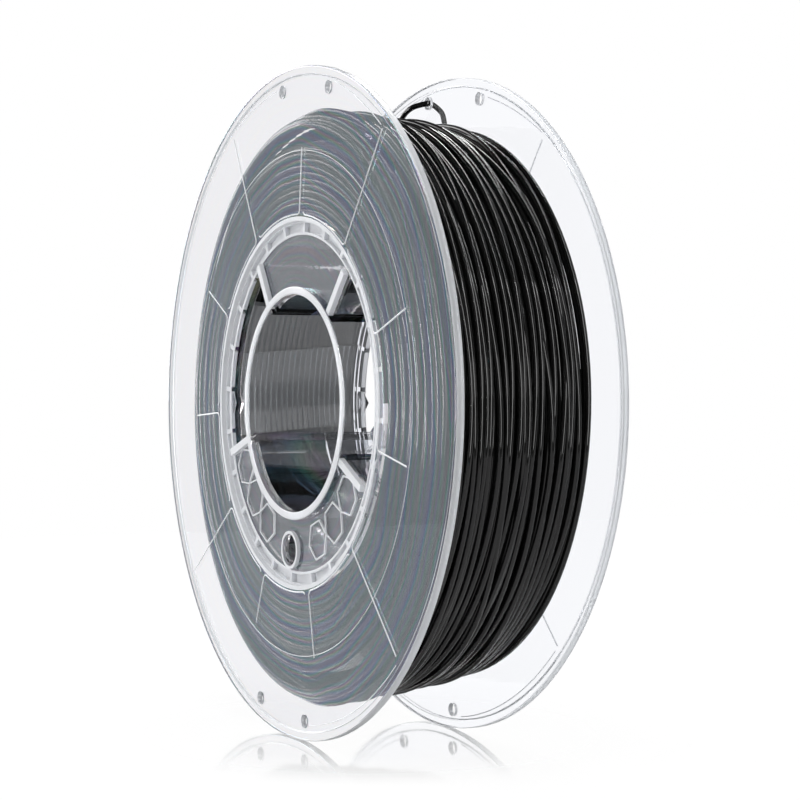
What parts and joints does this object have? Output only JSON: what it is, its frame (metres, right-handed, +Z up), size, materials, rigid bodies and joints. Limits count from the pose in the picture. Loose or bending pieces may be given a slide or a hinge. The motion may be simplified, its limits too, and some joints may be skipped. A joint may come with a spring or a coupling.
{
  "type": "filament spool",
  "caption": "Clear plastic spool wound with black printing filament, standing on its two rims, with an open bore, windows in the hub and a free filament end.",
  "frame": {"origin": "centre of the spool: on its axis, half way between the two outer faces", "axes": "+Y along the spool's axis, away from its front face; +Z up, as it stands on its rims; +X to the right, seen from the front"},
  "size_m": [0.2, 0.0569, 0.2],
  "materials": {
    "clear_plastic": "clear, polished",
    "black_filament": "satin"
  },
  "bodies": {
    "root": {"front_flange": "clear_plastic", "front_hub": "clear_plastic", "front_upper_walls": "clear_plastic", "front_lower_walls": "clear_plastic", "front_tongue_1": "clear_plastic", "front_tongue_2": "clear_plastic", "front_tongue_3": "clear_plastic", "front_tongue_4": "clear_plastic", "rear_flange": "clear_plastic", "rear_hub": "clear_plastic", "rear_upper_walls": "clear_plastic", "rear_lower_walls": "clear_plastic", "rear_tongue_1": "clear_plastic", "rear_tongue_2": "clear_plastic", "rear_tongue_3": "clear_plastic", "rear_tongue_4": "clear_plastic", "winding_core": "black_filament", "winding_outer_layer": "black_filament", "filament_free_end": "black_filament"}
  },
  "joints": []
}
